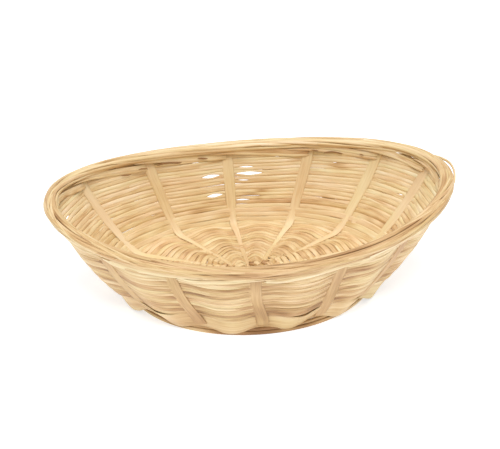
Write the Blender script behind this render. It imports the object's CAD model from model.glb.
from math import cos, hypot, pi, radians, sin, sqrt

import bpy
import numpy as np
from mathutils import Matrix, Vector


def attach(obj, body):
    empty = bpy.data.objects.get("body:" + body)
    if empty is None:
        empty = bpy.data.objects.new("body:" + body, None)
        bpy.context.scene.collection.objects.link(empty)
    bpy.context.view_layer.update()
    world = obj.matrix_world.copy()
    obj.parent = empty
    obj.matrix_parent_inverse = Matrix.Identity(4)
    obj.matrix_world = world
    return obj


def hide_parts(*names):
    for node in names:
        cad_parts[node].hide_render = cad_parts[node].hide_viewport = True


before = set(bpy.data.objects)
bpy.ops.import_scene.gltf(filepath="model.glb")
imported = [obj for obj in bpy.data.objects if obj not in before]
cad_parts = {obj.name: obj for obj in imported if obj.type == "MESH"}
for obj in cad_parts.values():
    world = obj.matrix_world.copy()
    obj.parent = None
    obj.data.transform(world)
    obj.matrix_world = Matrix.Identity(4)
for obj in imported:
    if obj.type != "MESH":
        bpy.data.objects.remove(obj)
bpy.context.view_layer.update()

MM = 0.001
FULL_TURN = 2.0 * pi

# ---------------------------------------------------------------- shell, mm
# The shell has the CAD model's own driving sizes, so every piece lies where its node does.
# Reach runs over the shell from the middle of the floor (0) over the base edge (1) to the rim (2).
RIM_HALF_LENGTH = 115.0
RIM_HALF_WIDTH = 74.0
RIM_HEIGHT = 55.5
RIM_END_LIFT = 5.5
BASE_HALF_LENGTH = 75.3
BASE_HALF_WIDTH = 58.8
FLOOR_HEIGHT = 4.6
FLOOR_DISH = 2.5
WALL_BULGE = 0.10
CORNER_START = 0.93
CORNER_END = 1.09
RIM_REACH = 2.0

RIB_COUNT = 28
RIB_LEAN = radians(5.1)
CROSS_SLATS = 8
LONG_SLAT_PAIRS = 3
# Even ribs first, then odd ones.
SLAT_WIDTHS = (7.6, 6.8)
SLAT_THICKNESS = 0.7
SLAT_MIDDLE_WIDTH = 2.5
SLAT_TAPER_START = 0.50
# Full width is reached lower on the even ribs, which show outside, than on the odd ones.
SLAT_TAPER_ENDS = (1.15, 1.60)
# The slats draw together towards the middle of the floor; a smaller bundle is tighter.
SLAT_BUNDLE = 0.235
SLAT_LAYER = 0.45
SLAT_LAYER_START = 0.43
SLAT_LAYER_END = 0.50
SLAT_TOP_REACH = 2.035

# How far a strand passes outside or inside a rib's middle, mm.
DEPTH_OUTSIDE = 1.6
DEPTH_INSIDE = 1.25
FLOOR_DEPTH_OUTSIDE = 1.15
# Tones run from 0, dark, to 1, pale. Outside, a strand is lighter where it bulges out; inside,
# where it is not pressed to a rib.
BULGE_TONE = 0.08
PRESSED_TONE = 0.09
INNER_TONE = 0.17
# A higher flatness gives the weave's wave longer flats and steeper flanks.
WEAVE_FLATNESS = 0.75
# Reaches of the first row of the wall and of the floor, the steps between rows, and the band's
# and the border's reach.
WALL_FIRST = 1.262
WALL_STEP = 0.0823
WALL_ROWS = 8
FLOOR_FIRST = 0.545
FLOOR_STEP = 0.053
FLOOR_ROWS = 8
BAND_REACH = 1.122
BORDER_REACH = 1.905
# The band's width as a share of reach, and how far its lower edge hangs below that, mm.
BAND_SHARE = 0.155
BAND_HANG = 5.8


def smooth(start, end, value):
    share = np.clip((value - start) / (end - start), 0.0, 1.0)
    return share * share * (3.0 - 2.0 * share)


def shell_axes(reach, angle):
    """Half-length, half-width and height of the floor's ring and of the wall's ring."""
    rise = np.maximum(reach - 1.0, 0.0)
    flare = rise + WALL_BULGE * 4.0 * rise * (1.0 - rise)
    top = RIM_HEIGHT + RIM_END_LIFT * np.cos(2.0 * angle)
    wall = np.stack([
        BASE_HALF_LENGTH + (RIM_HALF_LENGTH - BASE_HALF_LENGTH) * flare,
        BASE_HALF_WIDTH + (RIM_HALF_WIDTH - BASE_HALF_WIDTH) * flare,
        FLOOR_HEIGHT + (top - FLOOR_HEIGHT) * rise,
    ], -1)
    flat = np.stack([
        BASE_HALF_LENGTH * reach,
        BASE_HALF_WIDTH * reach,
        FLOOR_HEIGHT + FLOOR_DISH * (1.0 - reach * reach),
    ], -1)
    return flat, wall


def shell_middle(reach, angle):
    """Point on the shell's middle surface, rounded where the floor turns into the wall."""
    reach, angle = np.broadcast_arrays(np.asarray(reach, float), np.asarray(angle, float))
    flat, wall = shell_axes(reach, angle)
    below = shell_axes(np.full_like(reach, CORNER_START), angle)[0]
    above = shell_axes(np.full_like(reach, CORNER_END), angle)[1]
    corner = np.array([BASE_HALF_LENGTH, BASE_HALF_WIDTH, FLOOR_HEIGHT])
    share = np.clip((reach - CORNER_START) / (CORNER_END - CORNER_START), 0.0, 1.0)[..., None]
    bend = below * (1.0 - share) ** 2 + corner * 2.0 * share * (1.0 - share) + above * share ** 2
    axes = np.where(reach[..., None] <= CORNER_START, flat, bend)
    axes = np.where(reach[..., None] >= CORNER_END, wall, axes)
    return np.stack([axes[..., 0] * np.cos(angle), axes[..., 1] * np.sin(angle), axes[..., 2]], -1)


def unit(vectors):
    return vectors / np.maximum(np.linalg.norm(vectors, axis=-1, keepdims=True), 1e-9)


def shell_frame(reach, angle):
    """Middle point, direction away from the floor's middle, and outward normal."""
    step = 1e-4
    up = unit(shell_middle(reach + step, angle) - shell_middle(reach - step, angle))
    round_ = shell_middle(reach, angle + step) - shell_middle(reach, angle - step)
    return shell_middle(reach, angle), up, unit(np.cross(round_, up))


def rise_length(reach, angle):
    """Millimetres of shell per unit of reach."""
    step = 1e-3
    rise = shell_middle(reach + step, angle) - shell_middle(reach - step, angle)
    return np.linalg.norm(rise, axis=-1) / (2.0 * step)


# ---------------------------------------------------------------- slats in plan
def rib_angle(rib):
    """Angle of one rib place; a whole number is a rib, and a half is midway between two."""
    even = (rib + 0.5) * FULL_TURN / RIB_COUNT
    return even - RIB_LEAN * np.sin(even)


HALVINGS = 30


def slat_floor_position(first_rib, last_rib, crosswise, share):
    """Plan position on a slat, from its first rib (share 1) over the middle to its last (-1)."""
    first, last = (
        (BASE_HALF_LENGTH * cos(rib_angle(rib)), BASE_HALF_WIDTH * sin(rib_angle(rib)))
        for rib in (first_rib, last_rib))
    main, side = (1, 0) if crosswise else (0, 1)
    run = first[main] * share if share > 0 else -last[main] * share
    spread = sqrt(share * share + SLAT_BUNDLE ** 2) / sqrt(1.0 + SLAT_BUNDLE ** 2)
    across = (last[side] + (first[side] - last[side]) * (1.0 + share) / 2.0) * spread
    return (across, run) if crosswise else (run, across)


def floor_reach(position):
    return hypot(position[0] / BASE_HALF_LENGTH, position[1] / BASE_HALF_WIDTH)


def slat_share(first_rib, last_rib, crosswise, reach, sign):
    """Share of a slat's half at which it comes to this reach, by halving the interval."""
    low, high = 0.0, 1.0
    for _ in range(HALVINGS):
        middle = (low + high) / 2.0
        if floor_reach(slat_floor_position(first_rib, last_rib, crosswise, sign * middle)) < reach:
            low = middle
        else:
            high = middle
    return sign * high


def position_angle(position):
    return np.arctan2(position[1] / BASE_HALF_WIDTH, position[0] / BASE_HALF_LENGTH) % FULL_TURN


def slat_ribs():
    """First rib, last rib and direction of every slat."""
    slats = {}
    opposite = RIB_COUNT // 2
    for index in range(CROSS_SLATS):
        slats[f"slat_cross_{index + 1}"] = (
            LONG_SLAT_PAIRS + index, RIB_COUNT - 1 - LONG_SLAT_PAIRS - index, True)
    for index in range(LONG_SLAT_PAIRS):
        slats[f"slat_long_{index + 1}"] = (index, opposite - 1 - index, False)
        slats[f"slat_long_{LONG_SLAT_PAIRS + index + 1}"] = (
            RIB_COUNT - 1 - index, opposite + index, False)
    return slats


SLATS = slat_ribs()


def crossing_angles(reach):
    """Unwrapped angle of every rib at this reach, with the first one repeated a turn later."""
    angles = np.array([rib_angle(rib) for rib in range(RIB_COUNT)])
    if reach < 1.0:
        for first, last, crosswise in SLATS.values():
            for rib, sign in ((first, 1.0), (last, -1.0)):
                share = slat_share(first, last, crosswise, reach, sign)
                angles[rib] = position_angle(slat_floor_position(first, last, crosswise, share))
    angles = np.unwrap(angles)
    return np.append(angles, angles[0] + FULL_TURN)


def slat_width_at(reach, rib):
    share = smooth(SLAT_TAPER_START, SLAT_TAPER_ENDS[rib % 2], reach)
    return SLAT_MIDDLE_WIDTH + (SLAT_WIDTHS[rib % 2] - SLAT_MIDDLE_WIDTH) * share


# ---------------------------------------------------------------- noise along a strand
def wander(rng, turns, waves, amount):
    """Smooth noise of waves[0] to waves[1] waves a turn, which closes after each whole turn."""
    total = np.zeros_like(turns)
    numbers = range(waves[0], waves[1] + 1)
    for wave in numbers:
        total += rng.normal() * np.cos(FULL_TURN * (wave * turns + rng.random()))
    return total * amount / sqrt(len(numbers) / 2.0)


def bump(distance, half_width):
    """1 at no distance, falling smoothly to 0 at half_width on both sides."""
    return np.where(
        np.abs(distance) < half_width, 0.5 + 0.5 * np.cos(pi * distance / half_width), 0.0)


# ---------------------------------------------------------------- mesh building
class Strands:
    """Collects flat rounded tubes, with their texture places and tones, for one mesh."""

    SMALLEST_END = 0.02
    GRAIN_GAP = 37.0
    MAP_MARGIN = 0.004
    CELL_MARGIN = 0.06
    CAP_RADIUS = 0.35
    CAP_GRAIN = 0.3

    def __init__(self, sides, squareness):
        self.sides = sides
        turn = (np.arange(sides) + 0.5) / sides * FULL_TURN
        power = 2.0 / squareness
        self.profile_across = np.sign(np.cos(turn)) * np.abs(np.cos(turn)) ** power
        self.profile_out = np.sign(np.sin(turn)) * np.abs(np.sin(turn)) ** power
        self.points = []
        self.tones = []
        self.faces = []
        self.cells = []
        self.along = 0.0
        self.count = 0

    def add(self, centres, across_hint, width, thickness, tone, closed=False, round_end=0.8,
            inner_tone=0.0):
        """inner_tone is added on the face towards the inside of the basket, taken off outside."""
        number = len(centres)
        if closed:
            ahead = unit(np.roll(centres, -1, 0) - np.roll(centres, 1, 0))
        else:
            ahead = unit(np.gradient(centres, axis=0))
        across = unit(across_hint - ahead * np.sum(across_hint * ahead, -1, keepdims=True))
        out = np.cross(across, ahead)
        width, thickness, tone, inner_tone = (
            np.broadcast_to(np.asarray(value, float), number)
            for value in (width, thickness, tone, inner_tone))
        steps = np.linalg.norm(np.diff(centres, axis=0), axis=1)
        if not closed:
            ease = self.end_ease(steps, round_end)
            width = width * ease
            thickness = thickness * ease
        ring = (
            centres[:, None]
            + across[:, None] * (self.profile_across[None, :, None] * width[:, None, None] / 2.0)
            + out[:, None] * (self.profile_out[None, :, None] * thickness[:, None, None] / 2.0))
        self.points.append(ring.reshape(-1, 3))
        self.tones.append((tone[:, None] + inner_tone[:, None] * self.profile_out[None, :]).ravel())
        self.add_faces(number, steps, 2.0 * (width.mean() + thickness.mean()), closed)

    def end_ease(self, steps, round_end):
        """Share of the full section at each point, less within round_end mm of an end."""
        place = np.concatenate([[0.0], np.cumsum(steps)])
        nearest = np.minimum(place, place[-1] - place)
        share = np.clip(nearest / round_end, 0.0, 1.0)
        return np.sqrt(np.clip(1.0 - (1.0 - share) ** 2, self.SMALLEST_END, 1.0))

    def add_faces(self, number, steps, girth, closed):
        base = self.count
        last = number if closed else number - 1
        for i in range(last):
            low = base + i * self.sides
            high = base + ((i + 1) % number) * self.sides
            for j in range(self.sides):
                k = (j + 1) % self.sides
                self.faces.append((low + j, low + k, high + k, high + j))
            ahead_by = steps[i] if i < len(steps) else steps[-1]
            self.cells.append((self.along, self.along + ahead_by, girth))
            self.along += ahead_by
        if not closed:
            for end, order in ((base, -1), (base + last * self.sides, 1)):
                self.faces.append(tuple(end + j for j in range(self.sides))[::order])
                self.cells.append(None)
        self.count += number * self.sides
        self.along += self.GRAIN_GAP

    def build(self, name):
        mesh = bpy.data.meshes.new(name)
        points = np.concatenate(self.points) * MM
        mesh.from_pydata(points.tolist(), [], self.faces)
        self.unwrap(mesh)
        tone = mesh.attributes.new("tone", "FLOAT", "POINT")
        tone.data.foreach_set("value", np.concatenate(self.tones).astype(np.float32))
        mesh.shade_smooth()
        mesh.validate()
        return add_to_scene(name, mesh)

    def unwrap(self, mesh):
        """A packed map for baking, and a map in millimetres along and round each strand."""
        strips = [cell for cell in self.cells if cell]
        length = sum(cell[1] - cell[0] for cell in strips)
        girth = max(cell[2] for cell in strips)
        rows = max(2, round(sqrt(length / girth)))
        per_row = -(-len(strips) // rows)
        caps = max(1, len(self.cells) - len(strips))
        packed = []
        grain = []
        strip_index = 0
        cap_index = 0
        height = 1.0 / (rows + 1)
        turn = np.arange(self.sides) / self.sides * FULL_TURN
        across = 1.0 - 2.0 * self.MAP_MARGIN
        inside = 1.0 - 2.0 * self.CELL_MARGIN
        for cell in self.cells:
            if cell is None:
                centre = ((cap_index + 0.5) / caps, 1.0 - height / 2.0)
                radius = self.CAP_RADIUS * min(1.0 / caps, height)
                for angle in turn:
                    packed += [centre[0] + radius * cos(angle), centre[1] + radius * sin(angle)]
                    grain += [self.CAP_GRAIN * cos(angle), self.CAP_GRAIN * sin(angle)]
                cap_index += 1
                continue
            row, column = divmod(strip_index, per_row)
            left = self.MAP_MARGIN + across * column / per_row
            right = self.MAP_MARGIN + across * (column + 1) / per_row
            for j in range(self.sides):
                low = (row + self.CELL_MARGIN + inside * j / self.sides) * height
                high = (row + self.CELL_MARGIN + inside * (j + 1) / self.sides) * height
                packed += [left, low, left, high, right, high, right, low]
                near, far = cell[2] * j / self.sides, cell[2] * (j + 1) / self.sides
                grain += [cell[0], near, cell[0], far, cell[1], far, cell[1], near]
            strip_index += 1
        for label, values in (("OFBake", packed), ("Grain", grain)):
            layer = mesh.uv_layers.new(name=label)
            layer.data.foreach_set("uv", np.array(values, np.float32))


def add_to_scene(name, data):
    made = bpy.data.objects.new(name, data)
    bpy.context.scene.collection.objects.link(made)
    return made


# ---------------------------------------------------------------- materials
# Colour at each tone, from the darkest brown to the palest straw, before the slow tints.
STRAW = (
    (0.00, (0.24, 0.110, 0.040)),
    (0.22, (0.50, 0.285, 0.120)),
    (0.42, (0.68, 0.465, 0.230)),
    (0.60, (0.80, 0.620, 0.360)),
    (0.80, (0.87, 0.720, 0.465)),
    (1.00, (0.93, 0.830, 0.620)),
)
TINTS = ((0.35, (0.985, 1.0, 0.92)), (0.65, (1.0, 0.955, 0.96)))

# Noise in the grain's map: waves per mm along and round a strand, detail, and place in the noise.
FINE_GRAIN = ((0.10, 4.5), 3.0, 0.0)
BROAD_GRAIN = ((0.035, 1.1), 2.0, 5.0)
PATCHES = ((0.05, 0.02), 2.0, 11.0)
TINT_PATCHES = ((0.022, 0.09), 2.0, 23.0)
# Shift of the noise from one material to the next.
SEED_SHIFT = (1.37, 0.71, 0.53)

ROUGHNESS_SPREAD = 0.35
GLOSS = 0.42
RELIEF_STRENGTH = 0.3
RELIEF_HEIGHT = 0.0003


class WoodNodes:
    """The nodes of one split-wood material, with its noise laid along the grain."""

    def __init__(self, name, seed):
        self.material = bpy.data.materials.new(name)
        self.material.use_nodes = True
        self.nodes = self.material.node_tree.nodes
        self.links = self.material.node_tree.links
        self.seed = seed
        self.grain_map = self.add("ShaderNodeUVMap", uv_map="Grain").outputs[0]

    def add(self, kind, **values):
        made = self.nodes.new(kind)
        for key, value in values.items():
            setattr(made, key, value)
        return made

    def math(self, operation, left, right):
        made = self.add("ShaderNodeMath", operation=operation)
        for socket, value in zip(made.inputs, (left, right)):
            if isinstance(value, (int, float)):
                socket.default_value = value
            else:
                self.links.new(value, socket)
        return made.outputs[0]

    def swing(self, noise, amount):
        """The noise as a change to both sides of zero."""
        return self.math("MULTIPLY", self.math("SUBTRACT", noise, 0.5), amount)

    def noise(self, scale, detail, shift):
        place_node = self.add("ShaderNodeMapping")
        place_node.inputs["Scale"].default_value = (*scale, 1.0)
        steps = [self.seed * step for step in SEED_SHIFT]
        place_node.inputs["Location"].default_value = (steps[0] + shift, steps[1], steps[2])
        self.links.new(self.grain_map, place_node.inputs["Vector"])
        made = self.add("ShaderNodeTexNoise")
        made.inputs["Scale"].default_value = 1.0
        made.inputs["Detail"].default_value = detail
        self.links.new(place_node.outputs[0], made.inputs["Vector"])
        return made.outputs[0]

    def ramp(self, colours, value, interpolation):
        made = self.add("ShaderNodeValToRGB")
        made.color_ramp.interpolation = interpolation
        stops = made.color_ramp.elements
        for stop, (position, colour) in zip(stops, (colours[0], colours[-1])):
            stop.position = position
            stop.color = (*colour, 1.0)
        for position, colour in colours[1:-1]:
            stops.new(position).color = (*colour, 1.0)
        self.links.new(value, made.inputs[0])
        return made.outputs[0]

    def multiply(self, first, second):
        made = self.add("ShaderNodeMix", data_type="RGBA", blend_type="MULTIPLY")
        made.inputs[0].default_value = 1.0
        self.links.new(first, made.inputs[6])
        self.links.new(second, made.inputs[7])
        return made.outputs[2]

    def relief(self, height):
        made = self.add("ShaderNodeBump")
        made.inputs["Strength"].default_value = RELIEF_STRENGTH
        made.inputs["Distance"].default_value = RELIEF_HEIGHT
        self.links.new(height, made.inputs["Height"])
        return made.outputs[0]


def wood_material(name, seed, streak=0.5, blotch=0.25, roughness=0.5, lines=0.5):
    """Split-wood strand: long grain streaks, slow blotches and a tone set per strand."""
    wood = WoodNodes(name, seed)
    fine = wood.noise(*FINE_GRAIN)
    broad = wood.noise(*BROAD_GRAIN)
    patches = wood.noise(*PATCHES)
    tone = wood.add("ShaderNodeAttribute", attribute_name="tone").outputs["Fac"]
    for noise, amount in ((fine, streak), (broad, lines), (patches, blotch)):
        tone = wood.math("ADD", tone, wood.swing(noise, amount))
    straw = wood.ramp(STRAW, tone, "B_SPLINE")
    tint = wood.ramp(TINTS, wood.noise(*TINT_PATCHES), "LINEAR")
    shader = wood.nodes["Principled BSDF"]
    shader.inputs["Specular IOR Level"].default_value = GLOSS
    for value, socket in (
            (wood.multiply(straw, tint), "Base Color"),
            (wood.math("ADD", wood.swing(fine, ROUGHNESS_SPREAD), roughness), "Roughness"),
            (wood.relief(wood.math("ADD", fine, broad)), "Normal")):
        wood.links.new(value, shader.inputs[socket])
    return wood.material


piece_count = 0


def place(strands, name, node, slot, **looks):
    """Builds the piece that stands for one CAD node, in its own material."""
    global piece_count
    piece_count += 1
    piece = strands.build(name)
    piece.data.materials.append(wood_material(f"wood_{name}", piece_count, **looks))
    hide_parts(node)
    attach(piece, "root")


# ---------------------------------------------------------------- slats
# A rib has turned from its line across the floor to its own place on the wall at LEAN_END.
LEAN_END = 1.16
# Some ribs stand to one side of that place from DRIFT_END up, in radians.
DRIFT_END = 1.55
RIB_DRIFT = {18: -0.036, 20: -0.048, 22: -0.02, 16: 0.015, 5: 0.01, 9: -0.02, 3: 0.015}
# Ribs lie against the rows that pass outside the odd ones and inside the even ones.
RIB_TUCK_OUTSIDE = 0.8
RIB_TUCK_INSIDE = 0.6
RIB_TUCK_END = CORNER_END + 0.1
FLOOR_SLAT_DROP = 0.85
RIB_STATIONS = 43
FLOOR_STATIONS = 61
# Even ribs first, then odd ones.
RIB_TONES = (0.29, 0.64)


def rib_path(rib, corner_angle):
    """Points, outward normals and reaches of one rib, from its top down to the floor."""
    reach = np.linspace(SLAT_TOP_REACH, CORNER_START, RIB_STATIONS, endpoint=False)
    lean = 1.0 - smooth(CORNER_START, LEAN_END, reach)
    angle = rib_angle(rib) + (corner_angle - rib_angle(rib)) * lean
    angle = angle + RIB_DRIFT.get(rib, 0.0) * smooth(1.0, DRIFT_END, reach)
    middle, _, normal = shell_frame(reach, angle)
    tuck = RIB_TUCK_OUTSIDE if rib % 2 else -RIB_TUCK_INSIDE
    middle = middle + normal * (tuck * smooth(CORNER_START, RIB_TUCK_END, reach))[:, None]
    return middle, normal, reach


def slat_path(first_rib, last_rib, crosswise):
    """Points, outward normals and reaches of one slat, from rib top to rib top."""
    shares = []
    ribs = []
    for sign, rib in ((1.0, first_rib), (-1.0, last_rib)):
        share = slat_share(first_rib, last_rib, crosswise, CORNER_START, sign)
        angle = position_angle(slat_floor_position(first_rib, last_rib, crosswise, share))
        turns = round((rib_angle(rib) - angle) / FULL_TURN)
        shares.append(share)
        ribs.append(rib_path(rib, angle + turns * FULL_TURN))
    plan = np.array([
        slat_floor_position(first_rib, last_rib, crosswise, share)
        for share in np.linspace(*shares, FLOOR_STATIONS)])
    reach = np.hypot(plan[:, 0] / BASE_HALF_LENGTH, plan[:, 1] / BASE_HALF_WIDTH)
    layer = SLAT_LAYER if crosswise else -SLAT_LAYER
    layer = layer * (1.0 - smooth(SLAT_LAYER_START, SLAT_LAYER_END, reach))
    height = FLOOR_HEIGHT + FLOOR_DISH * (1.0 - reach ** 2) + layer
    height = height - FLOOR_SLAT_DROP * smooth(CORNER_START, SLAT_LAYER_END, reach)
    middle = np.column_stack([plan, height])
    normal = np.tile([0.0, 0.0, -1.0], (FLOOR_STATIONS, 1))
    parts = (ribs[0], (middle, normal, reach), tuple(part[::-1] for part in ribs[1]))
    return [np.concatenate([part[i] for part in parts]) for i in range(3)]


def build_slat(name, ribs, seed):
    rng = np.random.default_rng(seed)
    centres, normals, reach = slat_path(*ribs)
    turns = np.linspace(0.0, 1.0, len(centres))
    first_width, last_width = (slat_width_at(reach, rib) for rib in ribs[:2])
    width = np.where(turns < 0.5, first_width, last_width)
    width = width * (1.0 + wander(rng, turns, waves=(1, 9), amount=0.025))
    twist = wander(rng, turns, waves=(2, 7), amount=radians(2.0))[:, None]
    ahead = unit(np.gradient(centres, axis=0))
    across = np.cross(normals, ahead)
    hint = across * np.cos(twist) + normals * np.sin(twist)
    centres = centres + across * wander(rng, turns, waves=(2, 6), amount=0.15)[:, None]
    first_tone, last_tone = (RIB_TONES[rib % 2] for rib in ribs[:2])
    tone = first_tone + (last_tone - first_tone) * smooth(0.3, 0.7, turns)
    tone = tone + rng.normal() * 0.035 + wander(rng, turns, waves=(1, 6), amount=0.05)
    slat = Strands(sides=12, squareness=2.3)
    slat.add(centres, hint, width, SLAT_THICKNESS, tone)
    place(slat, f"{name}_split", name, "slat", streak=0.35, blotch=0.2, lines=0.3)


for number, (name, ribs) in enumerate(SLATS.items()):
    build_slat(name, ribs, seed=100 + number)


# ---------------------------------------------------------------- woven strands
# Openings between two rows: row below (-1 is the base band), rib place, half-length in ribs, and
# height in mm.
GAPS = (
    (4, 6.45, 0.48, 2.3), (4, 7.45, 0.30, 1.9), (5, 6.62, 0.30, 1.1), (3, 6.66, 0.24, 1.1),
    (1, 7.45, 0.28, 1.9), (0, 6.70, 0.22, 1.0), (3, 1.40, 0.18, 1.1), (5, 12.6, 0.18, 1.2),
    (-1, 21.45, 0.85, 1.3), (6, 18.1, 0.26, 0.9), (5, 18.15, 0.22, 0.8), (4, 18.1, 0.2, 0.8),
    (3, 18.15, 0.2, 0.9), (2, 18.12, 0.22, 0.9), (4, 20.3, 0.2, 0.5), (2, 20.25, 0.2, 0.5),
)
# Brown stretches: row, lower or upper strand, rib place, half-length in ribs, change of tone.
STAINS = (
    (1, 1, 6.45, 0.40, -0.42), (2, -1, 6.15, 0.3, -0.25), (1, -1, 6.2, 0.2, -0.2),
    (6, 1, 6.7, 0.35, -0.15), (4, -1, 6.3, 0.5, -0.15),
)
STATIONS_PER_RIB = 12
# Splints of one row overlap by this many ribs at each end, side by side and narrower.
SPLINT_LAP = 0.8
LAP_SHIFT = 0.22
LAP_NARROWING = 0.42
DEPTH_SPREAD = 0.06
# A wall row is two strands: each one's share of the row's width, and its place up or down in it.
HALF_WIDTH_SHARE = 0.52
HALF_SHIFT = 0.25
# A strand pressed to a rib is wider and thinner there.
PRESSED_WIDENING = 0.15
PRESSED_MIDDLE = 0.40
PRESSED_THINNING = 0.3
LOOSE_THICKENING = 0.1
# The band's lower edge hangs further where it bulges out.
HANG_MIDDLE = 0.75
HANG_SWING = 0.17


def weave_wave(ribs):
    """1 where a row passes inside a rib, -1 where it passes outside one."""
    return np.tanh(WEAVE_FLATNESS * np.cos(pi * ribs)) / np.tanh(WEAVE_FLATNESS)


def round_the_ribs(places, values):
    """Value at each rib place, from one value per rib and the first one repeated."""
    return np.interp(places, np.arange(RIB_COUNT + 1), values)


def from_rib(ribs, rib):
    """How many ribs each place lies from this one, the short way round."""
    return (ribs - rib + RIB_COUNT / 2) % RIB_COUNT - RIB_COUNT / 2


def opened(width, shift, ribs, gaps, half):
    """Width and shift of a row that makes room for the openings along its edges."""
    for rib, half_length, lower, upper in gaps:
        near = np.sqrt(bump(from_rib(ribs, rib), half_length))
        lower = 0.0 if half > 0 else lower
        upper = 0.0 if half < 0 else upper
        width = width - (lower + upper) * near
        shift = shift + (lower - upper) / 2.0 * near
    return width, shift


def lapped(width, shift, from_end, side):
    """Width and shift of a splint that lies beside the next one where they overlap."""
    tuck = 1.0 - smooth(0.0, 2.0 * SPLINT_LAP, from_end)
    return width * (1.0 - LAP_NARROWING * tuck), shift + side * tuck * width * LAP_SHIFT


def woven_row(strands, rng, reach, tone_base, width_share=0.0, fixed_width=0.0, splints=1,
              gaps=(), stains=(), thickness=1.3, half=0, hang=0.0):
    """One row of splints that overlap end to end and pass outside one rib and inside the next.

    half is -1 or 1 for the lower or upper strand of a pair, and hang lowers the lower edge.
    """
    angles = crossing_angles(reach)
    start_rib = rng.integers(0, RIB_COUNT)
    span = RIB_COUNT / splints
    lap = SPLINT_LAP if splints > 1 else 0.0
    depth_noise = 1.0 + rng.normal(size=RIB_COUNT) * DEPTH_SPREAD
    depth_noise = np.append(depth_noise, depth_noise[0])
    for part in range(splints):
        first = start_rib + round(part * span) - lap
        last = start_rib + round((part + 1) * span) + lap
        number = round((last - first) * STATIONS_PER_RIB) + (0 if splints == 1 else 1)
        ribs = np.linspace(first, last, number, endpoint=splints > 1)
        turns = ribs / RIB_COUNT
        whole = np.floor(turns)
        angle = round_the_ribs(ribs - whole * RIB_COUNT, angles) + whole * FULL_TURN
        wave = weave_wave(ribs)
        pressed = np.abs(wave)
        middle, up, normal = shell_frame(np.full(number, reach), angle)

        width = rise_length(np.full(number, reach), angle) * width_share + fixed_width
        width = width * (1.0 + wander(rng, turns, waves=(5, 30), amount=0.045))
        shift = wander(rng, turns, waves=(3, 16), amount=0.09)
        if half:
            width = width * (1.0 + PRESSED_WIDENING * (pressed - PRESSED_MIDDLE))
            shift = shift + half * HALF_SHIFT * width
            width = width * HALF_WIDTH_SHARE
        tone = tone_base + rng.normal() * 0.05 + wander(rng, turns, waves=(2, 14), amount=0.05)
        tone = tone + wander(rng, turns, waves=(15, 45), amount=0.025)
        for rib, half_length, change in stains:
            tone = tone + change * bump(from_rib(ribs, rib), half_length)
        tone = tone - 0.5 * (PRESSED_TONE * pressed + BULGE_TONE * wave)
        inner_tone = INNER_TONE - 0.5 * (PRESSED_TONE * pressed - BULGE_TONE * wave)
        width, shift = opened(width, shift, ribs, gaps, half)
        lower = hang * (HANG_MIDDLE - HANG_SWING * wave)
        width = width + lower
        shift = shift - lower / 2.0
        if splints > 1:
            from_end = np.minimum(ribs - first, last - ribs)
            width, shift = lapped(width, shift, from_end, side=1.0 if part % 2 else -1.0)

        depth_outside = DEPTH_OUTSIDE if reach > 1.0 else FLOOR_DEPTH_OUTSIDE
        offset = round_the_ribs(ribs % RIB_COUNT, depth_noise)
        offset = offset * np.where(wave > 0.0, -DEPTH_INSIDE, -depth_outside) * wave
        centres = middle + normal * offset[:, None] + up * shift[:, None]
        tilt = wander(rng, turns, waves=(4, 14), amount=radians(5.0))[:, None]
        hint = up * np.cos(tilt) + normal * np.sin(tilt)
        if half:
            flattened = thickness * (1.0 + LOOSE_THICKENING - PRESSED_THINNING * pressed)
        else:
            flattened = thickness
        flattened = flattened + wander(rng, turns, waves=(4, 12), amount=0.06)
        strands.add(centres, hint, width, flattened, tone, closed=splints == 1,
                    inner_tone=inner_tone)


def gaps_of(row):
    """Openings at the lower and upper edge of one row: place, half-length, lower, upper."""
    above = [(place, half, 0.0, size / 2.0) for below, place, half, size in GAPS if below == row]
    under = [(place, half, size / 2.0, 0.0) for below, place, half, size in GAPS if below == row - 1]
    return above + under


# ---------------------------------------------------------------- floor and its edge
FLOOR_TONE = 0.40
FLOOR_ROW_SHARE = 0.98
# Rows nearer to the middle than the CAD rings, down to this reach.
INNERMOST_REACH = 0.10
# Every three rows outwards, a row has one splint more.
ROWS_PER_SPLINT = 3
EDGE_WIDTH = 2.8
# Reach and tone of each row where the floor turns into the wall.
EDGE_ROWS = ((0.955, 0.43), (0.998, 0.45), (1.040, 0.47))


def build_floor_row(index):
    rng = np.random.default_rng(200 + index)
    strands = Strands(sides=10, squareness=2.5)
    share = FLOOR_ROW_SHARE * FLOOR_STEP
    woven_row(strands, rng, FLOOR_FIRST + index * FLOOR_STEP, FLOOR_TONE, width_share=share,
              splints=1 + index // ROWS_PER_SPLINT)
    inner_reach = FLOOR_FIRST - (index + 1) * FLOOR_STEP
    if inner_reach > INNERMOST_REACH:
        woven_row(strands, rng, inner_reach, FLOOR_TONE, width_share=share)
    place(strands, f"floor_row_{index + 1}", f"floor_strand_{index + 1}", "weave")


def build_edge_row():
    rng = np.random.default_rng(230)
    strands = Strands(sides=12, squareness=2.5)
    for reach, tone in EDGE_ROWS:
        woven_row(strands, rng, reach, tone, fixed_width=EDGE_WIDTH, splints=2)
    place(strands, "edge_row", "edge_strand", "weave")


for index in range(FLOOR_ROWS):
    build_floor_row(index)
build_edge_row()


# ---------------------------------------------------------------- base band
# Splints on the band's inner face, whose widths and places go with the band's width, mm.
LINING_BAND_WIDTH = 8.0
LINING_WIDTH = 2.75
LINING_THICKNESS = 0.8
LINING_DEPTH = 0.6
LINING_SWING = 1.45
LINING_STATIONS_PER_RIB = 14


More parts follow.
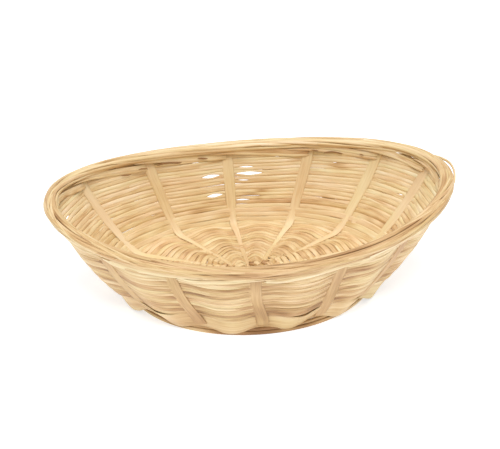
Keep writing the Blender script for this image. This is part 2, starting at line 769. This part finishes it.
def lining(strands, rng, row):
    """Thin splint that lies on the inner face of the base band."""
    angles = crossing_angles(BAND_REACH)
    ribs = np.arange(RIB_COUNT * LINING_STATIONS_PER_RIB) / LINING_STATIONS_PER_RIB
    turns = ribs / RIB_COUNT
    angle = round_the_ribs(ribs, angles)
    reach = np.full(len(ribs), BAND_REACH)
    middle, up, normal = shell_frame(reach, angle)
    scale = rise_length(reach, angle) * BAND_SHARE / LINING_BAND_WIDTH
    shift = row * LINING_WIDTH * scale + wander(rng, turns, waves=(3, 16), amount=0.14)
    offset = -LINING_DEPTH - LINING_SWING * weave_wave(ribs)
    centres = middle + normal * offset[:, None] + up * shift[:, None]
    tone = 0.60 + wander(rng, turns, waves=(2, 30), amount=0.07)
    strands.add(centres, up, LINING_WIDTH * scale, LINING_THICKNESS, tone, closed=True)


def build_base_band():
    rng = np.random.default_rng(240)
    strands = Strands(sides=12, squareness=3.2)
    woven_row(strands, rng, BAND_REACH, 0.54, width_share=BAND_SHARE, gaps=gaps_of(-1),
              thickness=1.0, hang=BAND_HANG)
    for row in (-1, 0, 1):
        lining(strands, rng, row)
    place(strands, "base_band_row", "base_band", "band", streak=0.3)


build_base_band()


# ---------------------------------------------------------------- wall rows
WALL_TONE = 0.535
WALL_TONE_SPREAD = 0.05
WALL_SPLINTS = 3
WALL_THICKNESS = 1.35
WALL_SHARE = 1.09
# The lowest row is broader and lower, and closes the wall down to the base band.
LOWEST_SHARE = 1.3
LOWEST_DROP = 0.012
RANDOM_STAINS = 4


def build_wall_row(index):
    rng = np.random.default_rng(250 + index)
    strands = Strands(sides=12, squareness=2.1)
    reach = WALL_FIRST + index * WALL_STEP
    share = WALL_SHARE
    if index == 0:
        reach -= LOWEST_DROP
        share = LOWEST_SHARE
    for half in (-1, 1):
        stains = [stain[2:] for stain in STAINS if stain[:2] == (index, half)]
        tone = WALL_TONE + rng.normal() * WALL_TONE_SPREAD
        for _ in range(RANDOM_STAINS):
            stains.append(
                (rng.uniform(0, RIB_COUNT), rng.uniform(0.3, 1.2), rng.uniform(-0.14, -0.04)))
        woven_row(strands, rng, reach, tone, width_share=share * WALL_STEP, splints=WALL_SPLINTS,
                  gaps=gaps_of(index), stains=stains, thickness=WALL_THICKNESS, half=half)
    place(strands, f"wall_row_{index + 1}", f"wall_strand_{index + 1}", "weave")


for index in range(WALL_ROWS):
    build_wall_row(index)


# ---------------------------------------------------------------- border under the rim
# Each folded rib end runs past this many rib places, climbing and lying further off as it goes.
FOLD_LENGTH = 2.5
FOLD_START = -0.035
FOLD_CLIMB = 0.085
FOLD_LIFT = 1.25
FOLD_LIFT_END = 0.16
FOLD_LAY = 1.55
FOLD_WIDTH = 1.75
FOLD_THICKNESS = 0.7
FOLD_SPACING = 1.45
FOLD_GATHER = 0.4
FOLD_TONE = 0.59
FOLD_STATIONS = 40
# Dark slits between the inner folds: first rib place, last rib place, reach.
SLITS = (
    (8.15, 8.80, 1.885), (9.05, 9.30, 1.865), (7.50, 7.75, 1.900), (9.55, 9.85, 1.845),
    (4.05, 4.60, 1.885), (4.75, 4.95, 1.915), (3.40, 3.55, 1.880),
)
SLIT_OFFSET = 3.2
SLIT_WIDTH = 0.9
SLIT_THICKNESS = 0.5
SLIT_STATIONS = 16


def folded_end(strands, side, rib, seed):
    """One rib end, folded over at a shallow angle and split into three thin strands."""
    rng = np.random.default_rng(seed)
    ribs = np.linspace(0.0, FOLD_LENGTH + rng.normal() * 0.15, FOLD_STATIONS)
    share = ribs / ribs[-1]
    reach = BORDER_REACH + FOLD_START + FOLD_CLIMB * smooth(0.0, 1.0, share)
    reach = reach + rng.normal() * 0.004
    offset = FOLD_LIFT * smooth(0.0, FOLD_LIFT_END, share) + FOLD_LAY * share
    offset = offset + rng.normal() * 0.1
    middle, up, normal = shell_frame(reach, rib_angle(rib + ribs))
    centres = middle + normal * (side * offset)[:, None]
    width = FOLD_WIDTH * (1.0 - 0.8 * share ** 4) * (1.0 + rng.normal() * 0.06)
    for row in (-1.0, 0.0, 1.0):
        spread = row * (FOLD_SPACING - FOLD_GATHER * share) + rng.normal() * 0.18
        tone = FOLD_TONE + rng.normal() * 0.08
        tone = tone + wander(rng, share, waves=(1, 4), amount=0.05)
        strands.add(centres + up * spread[:, None], up, width, FOLD_THICKNESS, tone,
                    round_end=2.0)


def slit(strands, first, last, reach):
    ribs = np.linspace(first, last, SLIT_STATIONS)
    middle, up, normal = shell_frame(reach + 0.01 * np.sin(9.0 * ribs), rib_angle(ribs))
    strands.add(middle + normal * -SLIT_OFFSET, up, SLIT_WIDTH, SLIT_THICKNESS, 0.0, round_end=3.0)


def build_border(side_name, side, first_rib, seed):
    """Every second rib's end, each lying on the one before it."""
    strands = Strands(sides=10, squareness=3.2)
    for number in range(RIB_COUNT // 2):
        folded_end(strands, side, first_rib + 2 * number, seed + number)
    if side < 0.0:
        for first, last, reach in SLITS:
            slit(strands, first, last, reach)
    place(strands, f"border_fold_{side_name}", f"border_band_{side_name}", "border", streak=0.4)


build_border("outer", side=1.0, first_rib=0, seed=300)
build_border("inner", side=-1.0, first_rib=1, seed=330)


# ---------------------------------------------------------------- rim
RIM_STRANDS = 5
RIM_STATIONS = 336
# The strands of each side twist round a line this far from the ribs' middle.
BUNDLE_CENTRE = 2.25
BUNDLE_HALF_WIDTH = 1.2
BUNDLE_HALF_HEIGHT = 1.95
BUNDLE_TURNS = 2
RIM_WIDTH = 2.1
RIM_THICKNESS = 1.4
RIM_TONE = 0.59
# The front of the rim is darker by up to this much.
RIM_FRONT_TONE = 0.26
# Strand that fills the middle of each bundle, and the one that closes the top between them.
CORE_WIDTH = 3.0
CORE_THICKNESS = 1.6
CORE_TONE = 0.45
CAP_OFFSET = 0.95
CAP_RISE = 2.3
CAP_WIDTH = 1.65
CAP_THICKNESS = 1.3
CAP_TONE = 0.5
CAP_FRONT_TONE = 0.24
# Short splints laid slantwise over the rim, from its inner side over the top to its outer one.
LAID_SPLINTS = 3
LAID_STATIONS = 70
LAID_START = radians(200.0)
LAID_SWEEP = radians(230.0)
LAID_HALF_WIDTH = 2.9
LAID_HALF_HEIGHT = 1.9
LAID_WIDENING = 1.15
LAID_LIFT = 0.75
LAID_RISE = 0.1
LAID_THICKNESS = 0.95
LAID_TONE = 0.60
LAID_FRONT_TONE = 0.24


def frontness(angle):
    """1 at the front of the basket, 0 at the back."""
    return 0.5 - 0.5 * np.sin(angle)


def bundle_strand(strands, rng, side, number):
    """One long strand of a slowly twisted bundle."""
    turns = np.arange(RIM_STATIONS) / RIM_STATIONS
    angle = turns * FULL_TURN
    lay = FULL_TURN * (number / RIM_STRANDS + BUNDLE_TURNS * turns)
    lay = lay + wander(rng, turns, waves=(2, 8), amount=0.2)
    offset = side * (BUNDLE_CENTRE + BUNDLE_HALF_WIDTH * np.cos(lay))
    offset = offset + wander(rng, turns, waves=(3, 9), amount=0.16)
    shift = BUNDLE_HALF_HEIGHT * np.sin(lay) + wander(rng, turns, waves=(3, 9), amount=0.16)
    middle, up, normal = shell_frame(np.full(RIM_STATIONS, RIM_REACH), angle)
    centres = middle + normal * offset[:, None] + up * shift[:, None]
    hint = up * np.cos(lay)[:, None] - normal * (side * np.sin(lay))[:, None]
    width = RIM_WIDTH * (1.0 + wander(rng, turns, waves=(3, 12), amount=0.08))
    tone = RIM_TONE - RIM_FRONT_TONE * frontness(angle) ** 2 + rng.normal() * 0.06
    tone = tone + wander(rng, turns, waves=(2, 16), amount=0.06)
    strands.add(centres, hint, width, RIM_THICKNESS, tone, closed=True)


def core_and_cap(strands, rng, side):
    turns = np.arange(RIM_STATIONS) / RIM_STATIONS
    angle = turns * FULL_TURN
    middle, up, normal = shell_frame(np.full(RIM_STATIONS, RIM_REACH), angle)
    core = middle + normal * (side * BUNDLE_CENTRE)
    strands.add(core, up, CORE_WIDTH, CORE_THICKNESS, CORE_TONE, closed=True)
    rise = CAP_RISE + wander(rng, turns, waves=(3, 9), amount=0.2)
    offset = side * CAP_OFFSET + wander(rng, turns, waves=(2, 7), amount=0.2)
    cap = middle + normal * offset[:, None] + up * rise[:, None]
    tone = CAP_TONE - CAP_FRONT_TONE * frontness(angle) ** 2
    tone = tone + wander(rng, turns, waves=(2, 16), amount=0.08)
    strands.add(cap, normal, CAP_WIDTH, CAP_THICKNESS, tone, closed=True)


def laid_splint(strands, rng):
    """A short splint that goes slantwise over the rim."""
    start = rng.random() * FULL_TURN
    length = radians(rng.uniform(50.0, 95.0))
    share = np.linspace(0.0, 1.0, LAID_STATIONS)
    angle = start + length * share
    lay = LAID_START - LAID_SWEEP * (share + 0.03 * np.sin(5.0 * share + rng.random()))
    lift = np.sin(pi * share) ** 0.35
    offset = (LAID_HALF_WIDTH + LAID_WIDENING * lift) * np.cos(lay)
    shift = LAID_RISE + (LAID_HALF_HEIGHT + LAID_LIFT * lift) * np.sin(lay)
    middle, up, normal = shell_frame(np.full(LAID_STATIONS, RIM_REACH), angle)
    centres = middle + normal * offset[:, None] + up * shift[:, None]
    hint = up * np.cos(lay)[:, None] - normal * np.sin(lay)[:, None]
    width = rng.uniform(1.1, 1.8)
    tone = LAID_TONE - LAID_FRONT_TONE * frontness(angle) ** 2 + rng.normal() * 0.08
    tone = tone + wander(rng, share, waves=(1, 5), amount=0.04)
    strands.add(centres, hint, width, LAID_THICKNESS, tone, round_end=3.0)


def build_rim_strand(side_name, side, number, seed):
    rng = np.random.default_rng(seed)
    strands = Strands(sides=10, squareness=2.4)
    bundle_strand(strands, rng, side, number)
    if number == 0:
        core_and_cap(strands, rng, side)
    for _ in range(LAID_SPLINTS):
        laid_splint(strands, rng)
    place(strands, f"rim_splint_{side_name}_{number + 1}", f"rim_strand_{side_name}_{number + 1}",
          "rim", streak=0.45)


for side_name, side, seed in (("outer", 1.0, 400), ("inner", -1.0, 420)):
    for number in range(RIM_STRANDS):
        build_rim_strand(side_name, side, number, seed + number)


# ---------------------------------------------------------------- stray strand
STRAY_START = radians(19.0)
STRAY_END = radians(-8.0)
STRAY_OFFSET = 3.8
STRAY_STAND_OFF = 0.4
STRAY_SHIFT = 1.3
STRAY_RISE = 2.3
STRAY_WIDTH = 1.6
STRAY_THICKNESS = 1.1
STRAY_TONE = 0.62
STRAY_STATIONS = 60


def build_stray_strand():
    """A strand that bows up off the right-hand end of the rim."""
    share = np.linspace(0.0, 1.0, STRAY_STATIONS)
    angle = STRAY_START + (STRAY_END - STRAY_START) * share
    bow = np.sin(pi * share) ** 1.2
    middle, up, normal = shell_frame(np.full(STRAY_STATIONS, RIM_REACH), angle)
    offset = STRAY_OFFSET + STRAY_STAND_OFF * bow
    shift = STRAY_SHIFT + STRAY_RISE * bow
    centres = middle + normal * offset[:, None] + up * shift[:, None]
    stray = Strands(sides=10, squareness=2.4)
    stray.add(centres, up, STRAY_WIDTH, STRAY_THICKNESS, STRAY_TONE, round_end=2.0)
    place(stray, "stray_splint", "stray_strand", "rim")


build_stray_strand()


# ---------------------------------------------------------------- foot
FOOT_HALF_LENGTH = BASE_HALF_LENGTH * 0.945
FOOT_HALF_WIDTH = BASE_HALF_WIDTH * 1.02
# Inset, height, width and thickness of each coil, mm.
FOOT_COILS = ((1.0, 1.10, 1.75, 2.1), (2.6, 1.10, 1.6, 2.0), (2.0, 3.0, 2.2, 1.8))
FOOT_STATIONS = 240
FOOT_TONE = 0.40
# A brown stretch: its place in turns, half-length in turns, and change of tone.
FOOT_STAIN = (0.735, 0.10, -0.36)


def build_foot():
    rng = np.random.default_rng(460)
    foot = Strands(sides=10, squareness=2.6)
    turns = np.arange(FOOT_STATIONS) / FOOT_STATIONS
    angle = turns * FULL_TURN
    stain_place, stain_half, stain_change = FOOT_STAIN
    for inset, height, width, thickness in FOOT_COILS:
        centres = np.column_stack([
            (FOOT_HALF_LENGTH - inset) * np.cos(angle),
            (FOOT_HALF_WIDTH - inset) * np.sin(angle),
            np.full(FOOT_STATIONS, height)])
        out = unit(centres * [1.0, 1.0, 0.0])
        tone = FOOT_TONE + stain_change * bump(turns - stain_place, stain_half)
        tone = tone + wander(rng, turns, waves=(2, 20), amount=0.05)
        foot.add(centres, out, width, thickness, tone, closed=True)
    place(foot, "foot_coil", "foot_ring", "foot", roughness=0.6)


build_foot()


# ---------------------------------------------------------------- floor and lights, m
FLOOR_HALF = 6.0
FLOOR_COLOUR = (0.86, 0.91, 0.98)
FLOOR_ROUGHNESS = 0.9
FLOOR_GLOW = 0.55
FLOOR_GLOW_COLOUR = (0.88, 0.94, 1.0)
WORLD_COLOUR = (1.0, 0.99, 0.98)
WORLD_STRENGTH = 0.60


def build_floor():
    """A plain pale floor, whose own glow keeps it white."""
    material = bpy.data.materials.new("floor_paper")
    material.use_nodes = True
    shader = material.node_tree.nodes["Principled BSDF"]
    shader.inputs["Base Color"].default_value = (*FLOOR_COLOUR, 1.0)
    shader.inputs["Roughness"].default_value = FLOOR_ROUGHNESS
    shader.inputs["Specular IOR Level"].default_value = 0.0
    shader.inputs["Emission Color"].default_value = (*FLOOR_GLOW_COLOUR, 1.0)
    shader.inputs["Emission Strength"].default_value = FLOOR_GLOW
    mesh = bpy.data.meshes.new("floor")
    corners = [(x * FLOOR_HALF, y * FLOOR_HALF, 0.0) for x, y in ((-1, -1), (1, -1), (1, 1), (-1, 1))]
    mesh.from_pydata(corners, [], [(0, 1, 2, 3)])
    mesh.materials.append(material)
    floor = add_to_scene("floor", mesh)


def build_world():
    world = bpy.data.worlds.new("studio")
    world.use_nodes = True
    background = world.node_tree.nodes["Background"]
    background.inputs["Color"].default_value = (*WORLD_COLOUR, 1.0)
    background.inputs["Strength"].default_value = WORLD_STRENGTH
    bpy.context.scene.world = world


def soft_light(name, location, size, power):
    """A round area light that points at the origin."""
    light = bpy.data.lights.new(name, "AREA")
    light.shape = "DISK"
    light.size = size
    light.energy = power
    lamp = add_to_scene(name, light)
    lamp.location = location
    lamp.rotation_euler = (-Vector(location)).to_track_quat("-Z", "Y").to_euler()


build_floor()
build_world()
soft_light("key", location=(-0.10, -0.75, 1.45), size=0.9, power=13.0)
soft_light("top", location=(0.1, 0.3, 1.6), size=0.9, power=7.2)


# ---------------------------------------------------------------- camera
CAMERA_AZIMUTH = radians(-7.982)
CAMERA_ELEVATION = radians(30.349)
CAMERA_ROLL = radians(-0.8645)
CAMERA_DISTANCE = 2.04476
CAMERA_LENS = 253.37
CAMERA_SHIFT_X = -0.00087
CAMERA_SHIFT_Y = 0.03183
SENSOR_WIDTH = 36.0
CLIP_END = 20.0
TARGET = Vector((0.0, 0.0, RIM_HEIGHT * MM / 2.0))


def build_camera():
    """A long lens that looks at TARGET from CAMERA_AZIMUTH, which is 0 in front of the basket."""
    back = Vector((
        sin(CAMERA_AZIMUTH) * cos(CAMERA_ELEVATION),
        -cos(CAMERA_AZIMUTH) * cos(CAMERA_ELEVATION),
        sin(CAMERA_ELEVATION)))
    right = Vector((cos(CAMERA_AZIMUTH), sin(CAMERA_AZIMUTH), 0.0))
    above = back.cross(right)
    turned_right = right * cos(CAMERA_ROLL) + above * sin(CAMERA_ROLL)
    turned_above = above * cos(CAMERA_ROLL) - right * sin(CAMERA_ROLL)
    rotation = Matrix((turned_right, turned_above, back)).transposed().to_4x4()
    data = bpy.data.cameras.new("camera")
    data.lens = CAMERA_LENS
    data.sensor_width = SENSOR_WIDTH
    data.shift_x = CAMERA_SHIFT_X
    data.shift_y = CAMERA_SHIFT_Y
    data.clip_end = CLIP_END
    camera = add_to_scene("camera", data)
    camera.matrix_world = Matrix.Translation(TARGET + back * CAMERA_DISTANCE) @ rotation
    bpy.context.scene.camera = camera


build_camera()
bpy.context.scene.view_settings.view_transform = "Standard"
